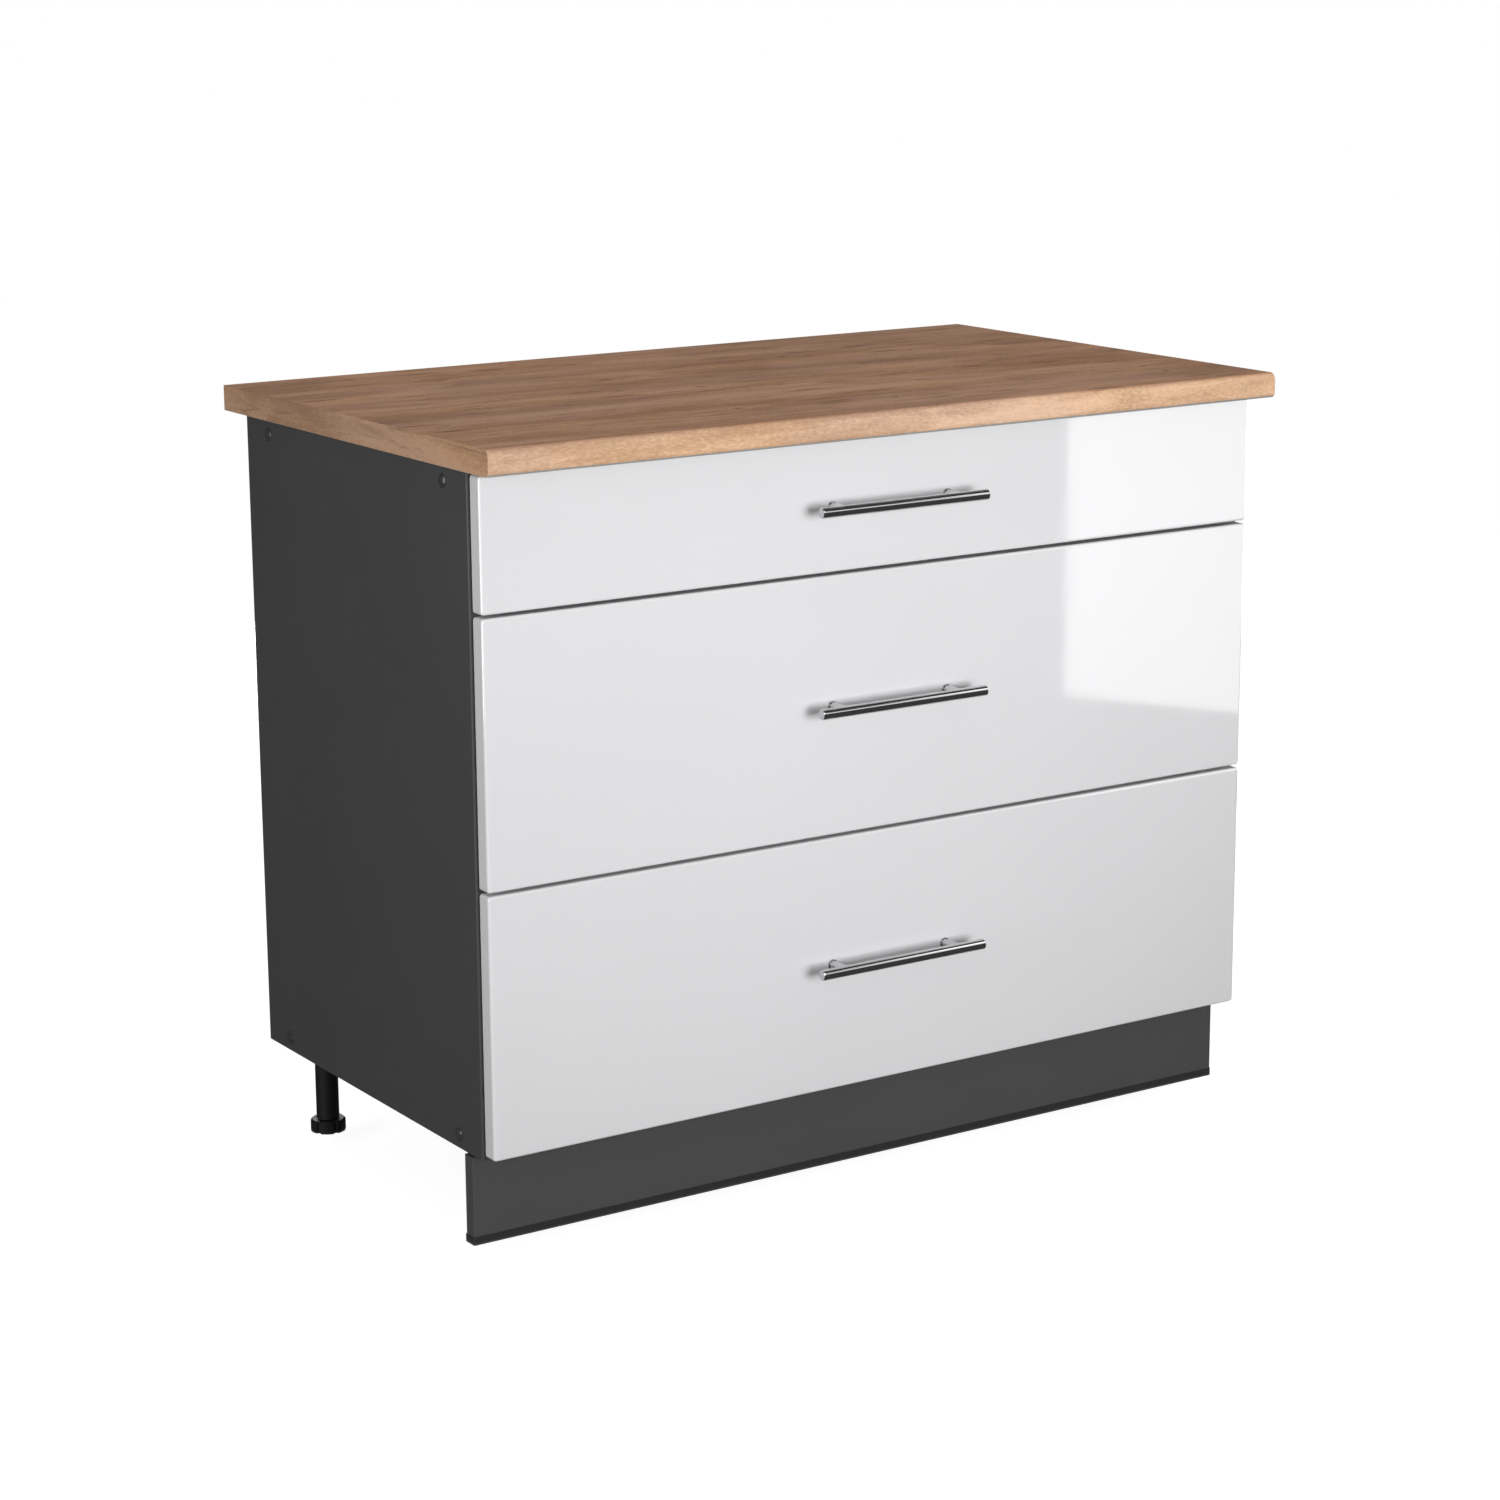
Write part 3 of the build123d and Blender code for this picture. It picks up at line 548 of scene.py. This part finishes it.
def piece(name, bm, body, slot, materials):
    """A finished mesh as an object that rides on a body."""
    bmesh.ops.remove_doubles(bm, verts=bm.verts, dist=JOIN_DISTANCE)
    bmesh.ops.recalc_face_normals(bm, faces=bm.faces)
    mesh = bpy.data.meshes.new(name)
    bm.to_mesh(mesh)
    bm.free()
    made = bpy.data.objects.new(name, mesh)
    bpy.context.scene.collection.objects.link(made)
    mesh.materials.append(materials[slot])
    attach(made, body)
    return made


def turned_to(place, direction):
    """A matrix that puts the Z axis along a direction, at a place."""
    turn = Vector((0, 0, 1)).rotation_difference(Vector(direction))
    return Matrix.Translation(place) @ turn.to_matrix().to_4x4()


def closed_rings(bm, rings):
    """Faces between each ring of points and the next, and a cap at both ends."""
    rows = [[bm.verts.new(point) for point in ring] for ring in rings]
    for low, high in zip(rows, rows[1:]):
        count = len(low)
        for i in range(count):
            j = (i + 1) % count
            bm.faces.new((low[i], low[j], high[j], high[i]))
    bm.faces.new(rows[0])
    bm.faces.new(rows[-1])


def circle(radius, height, count):
    steps = [2 * math.pi * i / count for i in range(count)]
    return [Vector((radius * math.cos(a), radius * math.sin(a), height)) for a in steps]


def spaced(low, high, spacing):
    """Even places from low to high, about a spacing apart."""
    count = max(1, round((high - low) / spacing))
    return [low + (high - low) * i / count for i in range(count + 1)]


def nail_head(bm, matrix):
    """A flat domed nail head."""
    rings = [circle(NAIL_RADIUS * out, NAIL_HEIGHT * up, NAIL_SIDES) for out, up in NAIL_PROFILE]
    closed_rings(bm, [[matrix @ point for point in ring] for ring in rings])


def back_panel_nails(materials):
    """Nails along the edges of the back panel."""
    low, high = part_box("back_panel")
    left, right = low.x + NAIL_INSET, high.x - NAIL_INSET
    bottom, top = low.z + NAIL_INSET * 2, high.z - NAIL_INSET * 2
    places = [(x, z) for x in (left, right) for z in spaced(bottom, top, NAIL_SPACING)]
    for board_low, board_high in (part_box("bottom_panel"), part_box("top_rail_back")):
        z = (board_low.z + board_high.z) / 2
        places += [(x, z) for x in spaced(left, right, NAIL_SPACING)[1:-1]]
    bm = bmesh.new()
    for x, z in places:
        nail_head(bm, turned_to((x, high.y, z), (0, 1, 0)))
    piece("back_panel_nails", bm, "carcass", "zinc_screw", materials)


def screw_ring(radius, height, low):
    """A ring of points round a cross recess, with doubled points at the walls of its arms."""
    half = math.asin(min(1.0, SCREW_ARM_HALF_WIDTH / radius))
    half = min(half, math.pi / 4)
    flank = math.pi / 2 - 2 * half
    points = []
    for quarter in range(4):
        middle = quarter * math.pi / 2
        turns = [(-half, height), (-half, low), (0.0, low), (half, low), (half, height)]
        turns += [(half + flank * k / FLANK_STEPS, height) for k in range(1, FLANK_STEPS)]
        for turn, z in turns:
            angle = middle + turn
            points.append(Vector((radius * math.cos(angle), radius * math.sin(angle), z)))
    return points


def screw(bm, matrix, head, shank):
    """A pan head with a cross recess, on a shank, each a pair of radius and length."""
    head_radius, top = head
    shank_radius, shank_length = shank
    recess = top - SCREW_RECESS
    corner = SCREW_ARM_HALF_WIDTH * math.sqrt(2)
    edge = top * HEAD_EDGE
    shoulder = (top + edge) / 2
    steps = (
        (corner * RECESS_CENTRE, recess, recess),
        (corner, top, recess),
        (SCREW_ARM_REACH, top, recess),
        (SCREW_ARM_REACH, top, top),
        (head_radius * HEAD_SHOULDER, shoulder, shoulder),
        (head_radius, edge, edge),
        (head_radius, 0.0, 0.0),
        (shank_radius, 0.0, 0.0),
        (shank_radius, -shank_length, -shank_length),
    )
    closed_rings(bm, [[matrix @ point for point in screw_ring(*step)] for step in steps])


def screw_set(name, places, head, shank, body, materials, node=None):
    """Equal screws at places, each a point on the surface and the direction of the head."""
    bm = bmesh.new()
    for place, direction in places:
        screw(bm, turned_to(place, direction), head, shank)
    made = piece(name, bm, body, "zinc_screw", materials)
    if node:
        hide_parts(node)


def handle_screws(materials):
    """Cross-head screws behind each front."""
    head, shank = (HEAD_RADIUS, HEAD_HEIGHT), (HANDLE_SCREW_RADIUS, HANDLE_SCREW_LENGTH)
    for number in DRAWERS:
        bar_low, bar_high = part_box(f"handle_bar_{number}")
        z = (bar_low.z + bar_high.z) / 2
        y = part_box(f"drawer_front_{number}")[1].y
        places = [((x, y, z), (0, 1, 0)) for x in (-HANDLE_SCREW_X, HANDLE_SCREW_X)]
        name, node = f"cross_handle_screws_{number}", f"handle_screws_{number}"
        screw_set(name, places, head, shank, f"drawer_{number}", materials, node)


def runner_screws(materials):
    """Cross-head screws through the runners' webs."""
    places = []
    for number in DRAWERS:
        low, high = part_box(f"runner_left_{number}")
        first = low.y + RUNNER_SCREW_INSET
        web = low.x + RUNNER_SHEET
        z = (low.z + high.z) / 2
        for y in (first, first + RUNNER_SCREW_SPACING):
            places += [((web, y, z), (1, 0, 0)), ((-web, y, z), (-1, 0, 0))]
    head, shank = (HEAD_RADIUS, RUNNER_HEAD_HEIGHT), (RUNNER_SCREW_RADIUS, RUNNER_SCREW_LENGTH)
    screw_set("cross_runner_screws", places, head, shank, "carcass", materials, "runner_screws")


def worktop_screws(materials):
    """Cross-head screws from below through the top rails."""
    places = []
    for rail in ("top_rail_front", "top_rail_back"):
        low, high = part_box(rail)
        y = (low.y + high.y) / 2
        places += [((x, y, low.z), (0, 0, -1)) for x in (-WORKTOP_SCREW_X, WORKTOP_SCREW_X)]
    head, shank = (HEAD_RADIUS, HEAD_HEIGHT), (WORKTOP_SCREW_RADIUS, WORKTOP_SCREW_LENGTH)
    screw_set("cross_worktop_screws", places, head, shank, "carcass", materials, "worktop_screws")


def flange_screws(materials):
    """Screws in the flange of each leg."""
    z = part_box("leg_sockets")[1].z - FLANGE_THICKNESS
    places = []
    for foot in FEET:
        low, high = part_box(f"foot_{foot}")
        centre = (low + high) / 2
        for corner in range(FLANGE_CORNERS):
            angle = math.pi / 4 + corner * 2 * math.pi / FLANGE_CORNERS
            x = centre.x + FLANGE_SCREW_RING * math.cos(angle)
            y = centre.y + FLANGE_SCREW_RING * math.sin(angle)
            places.append(((x, y, z), (0, 0, -1)))
    head, shank = (FLANGE_HEAD_RADIUS, FLANGE_HEAD_HEIGHT), (HANDLE_SCREW_RADIUS, FLANGE_THICKNESS)
    screw_set("leg_flange_screws", places, head, shank, "carcass", materials)


def arc_points(centre, radius, start, end):
    """Points of an arc in the YZ plane, as pairs."""
    turns = [math.radians(start + (end - start) * i / ARC_STEPS) for i in range(ARC_STEPS + 1)]
    return [(centre[0] + radius * math.cos(a), centre[1] + radius * math.sin(a)) for a in turns]


def worktop_outline(inset):
    """The worktop's cross-section drawn in by an inset, as pairs of Y and Z."""
    low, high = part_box("worktop")
    under, upper = WORKTOP_UNDER_ROUND, WORKTOP_TOP_ROUND
    points = [(high.y - inset, low.z + inset)]
    points += arc_points((low.y + under, low.z + under), under - inset, 270, 180)
    points += arc_points((low.y + upper, high.z - upper), upper - inset, 180, 90)
    points.append((high.y - inset, high.z - inset))
    return points


def worktop_ends(materials):
    """A thin laminate strip with an eased rim on each end of the worktop."""
    low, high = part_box("worktop")
    steps = [(0.0, 0.0), (STRIP_THICKNESS - STRIP_EASE, 0.0), (STRIP_THICKNESS, STRIP_EASE)]
    for side, x, out in (("left", low.x, -1), ("right", high.x, 1)):
        rings = [[(x + out * reach, y, z) for y, z in worktop_outline(inset)] for reach, inset in steps]
        bm = bmesh.new()
        closed_rings(bm, rings)
        piece(f"worktop_end_{side}", bm, "carcass", "oak_worktop", materials)


# Stage


def stage_mesh(name, bm, material):
    mesh = bpy.data.meshes.new(name)
    bm.to_mesh(mesh)
    bm.free()
    mesh.materials.append(material)
    made = bpy.data.objects.new(name, mesh)
    bpy.context.scene.collection.objects.link(made)
    return made


def sheet(name, corners, material):
    """A flat stage piece with these corners."""
    bm = bmesh.new()
    bm.faces.new([bm.verts.new(corner) for corner in corners])
    return stage_mesh(name, bm, material)


def empty_tree(owner):
    owner.use_nodes = True
    owner.node_tree.nodes.clear()
    return owner.node_tree


def shader_node(tree, kind, **inputs):
    node = tree.nodes.new(kind)
    for key, value in inputs.items():
        node.inputs[key].default_value = value
    return node


def joined(tree, kind, *sources):
    """A node of a kind that takes these outputs in order."""
    node = tree.nodes.new(kind)
    for socket, source in zip(node.inputs, sources):
        tree.links.new(source, socket)
    return node


def shown_rays(tree):
    """1 for rays from the camera and for mirrored and transmitted ones."""
    path = tree.nodes.new("ShaderNodeLightPath")
    total = path.outputs["Is Camera Ray"]
    for ray in ("Is Glossy Ray", "Is Transmission Ray"):
        node = joined(tree, "ShaderNodeMath", total, path.outputs[ray])
        node.operation = "MAXIMUM"
        total = node.outputs[0]
    return total


def white_world():
    """White where it shows, and a plain soft light on the object."""
    world = bpy.data.worlds.new("studio")
    bpy.context.scene.world = world
    tree = empty_tree(world)
    light = shader_node(tree, "ShaderNodeBackground", Color=grey(1.0), Strength=SKY_LIGHT)
    shown = shader_node(tree, "ShaderNodeBackground", Color=grey(1.0), Strength=SKY_SHOWN)
    mix = joined(tree, "ShaderNodeMixShader", shown_rays(tree), light.outputs[0], shown.outputs[0])
    joined(tree, "ShaderNodeOutputWorld", mix.outputs[0])


def pale_floor():
    """Almost white where it shows, with the object's shadow, and grey in the light that it sends back."""
    material = bpy.data.materials.new("pale_floor")
    tree = empty_tree(material)
    bounce = shader_node(tree, "ShaderNodeBsdfDiffuse", Color=grey(FLOOR_BOUNCE))
    glow = shader_node(tree, "ShaderNodeEmission", Color=grey(1.0), Strength=FLOOR_SHOWN)
    shade = shader_node(tree, "ShaderNodeBsdfDiffuse", Color=grey(FLOOR_SHOWN_BOUNCE))
    both = joined(tree, "ShaderNodeAddShader", glow.outputs[0], shade.outputs[0])
    mix = joined(tree, "ShaderNodeMixShader", shown_rays(tree), bounce.outputs[0], both.outputs[0])
    joined(tree, "ShaderNodeOutputMaterial", mix.outputs[0])
    return material


def floor():
    signs = ((-1, -1), (1, -1), (1, 1), (-1, 1))
    corners = [(x * FLOOR_HALF, y * FLOOR_HALF, FLOOR_LEVEL) for x, y in signs]
    sheet("floor", corners, pale_floor())


def glow_material(name, strength):
    material = bpy.data.materials.new(name)
    tree = empty_tree(material)
    glow = shader_node(tree, "ShaderNodeEmission", Color=grey(1.0), Strength=strength)
    joined(tree, "ShaderNodeOutputMaterial", glow.outputs[0])
    return material


def mirrored_only(made):
    """Hide a card from all but mirrored rays."""
    made.visible_camera = False
    made.visible_diffuse = False
    made.visible_transmission = False
    made.visible_volume_scatter = False
    made.visible_shadow = False


def upright_card(name, near, far, low, high, glow):
    """A bright upright card between two points on the floor plan."""
    corners = [(*near, low), (*far, low), (*far, high), (*near, high)]
    mirrored_only(sheet(name, corners, glow_material(name, glow)))


def bright_card():
    """At the right, where the upper fronts mirror it."""
    height = (BRIGHT_CARD_LOW, BRIGHT_CARD_HIGH)
    upright_card("bright_card", BRIGHT_CARD_NEAR, BRIGHT_CARD_FAR, *height, BRIGHT_CARD_GLOW)


def side_card():
    """At the left, where the domed screw caps mirror it."""
    height = (SIDE_CARD_LOW, SIDE_CARD_HIGH)
    upright_card("side_card", SIDE_CARD_NEAR, SIDE_CARD_FAR, *height, SIDE_CARD_GLOW)


def dark_ring():
    """A dark floor, wall and ceiling all round, which give the chrome its dark bands."""
    bm = bmesh.new()
    heights = (DARK_RING_LIFT, DARK_RING_HEIGHT)
    closed_rings(bm, [circle(DARK_RING_RADIUS, height, DARK_RING_SIDES) for height in heights])
    mirrored_only(stage_mesh("dark_ring", bm, glow_material("dark_ring", DARK_RING_GLOW)))


def light_band():
    """A bright strip high along the front, which draws a streak on the bars and a rim on the fronts."""
    turn = (LIGHT_BAND_END - LIGHT_BAND_START) / LIGHT_BAND_STEPS
    turns = [LIGHT_BAND_START + turn * i for i in range(LIGHT_BAND_STEPS + 1)]
    spots = [(LIGHT_BAND_RADIUS * math.cos(a), LIGHT_BAND_RADIUS * math.sin(a)) for a in turns]
    bm = bmesh.new()
    low = [bm.verts.new((*spot, LIGHT_BAND_LOW)) for spot in spots]
    high = [bm.verts.new((*spot, LIGHT_BAND_HIGH)) for spot in spots]
    for i in range(LIGHT_BAND_STEPS):
        bm.faces.new((low[i], low[i + 1], high[i + 1], high[i]))
    mirrored_only(stage_mesh("light_band", bm, glow_material("light_band", LIGHT_BAND_GLOW)))


def soft_light(name, place, size, power, target=LIGHT_TARGET):
    """A square soft box aimed at a target."""
    data = bpy.data.lights.new(name, "AREA")
    data.shape = "SQUARE"
    data.size = size
    data.energy = power
    made = bpy.data.objects.new(name, data)
    bpy.context.scene.collection.objects.link(made)
    made.location = place
    direction = Vector(place) - Vector(target)
    made.rotation_euler = direction.to_track_quat("Z", "Y").to_euler()
    made.visible_camera = False
    return made


def key_light():
    """A far, level box with a narrow beam, so that the fronts grow darker downwards."""
    made = soft_light("key", KEY_PLACE, KEY_WIDTH, KEY_POWER, KEY_TARGET)
    made.data.shape = "RECTANGLE"
    made.data.size_y = KEY_HEIGHT
    made.data.spread = KEY_SPREAD
    made.visible_glossy = False


def camera():
    data = bpy.data.cameras.new("camera")
    data.sensor_width = CAMERA_SENSOR
    data.lens = CAMERA_LENS
    made = bpy.data.objects.new("camera", data)
    bpy.context.scene.collection.objects.link(made)
    heading = Matrix.Rotation(-CAMERA_YAW, 4, "Z")
    tilt = Matrix.Rotation(math.pi / 2 - CAMERA_PITCH, 4, "X")
    roll = Matrix.Rotation(CAMERA_ROLL, 4, "Z")
    made.matrix_world = Matrix.Translation(CAMERA_PLACE) @ heading @ tilt @ roll
    bpy.context.scene.camera = made


def stage():
    bpy.context.scene.view_settings.view_transform = "Standard"
    white_world()
    floor()
    bright_card()
    side_card()
    dark_ring()
    light_band()
    key_light()
    for name, settings in SOFT_BOXES.items():
        soft_light(name, *settings)
    camera()


def main():
    materials = {slot: make() for slot, make in FINISHES.items()}
    dress_nodes(materials)
    worktop_ends(materials)
    handle_screws(materials)
    runner_screws(materials)
    worktop_screws(materials)
    flange_screws(materials)
    back_panel_nails(materials)
    stage()


main()
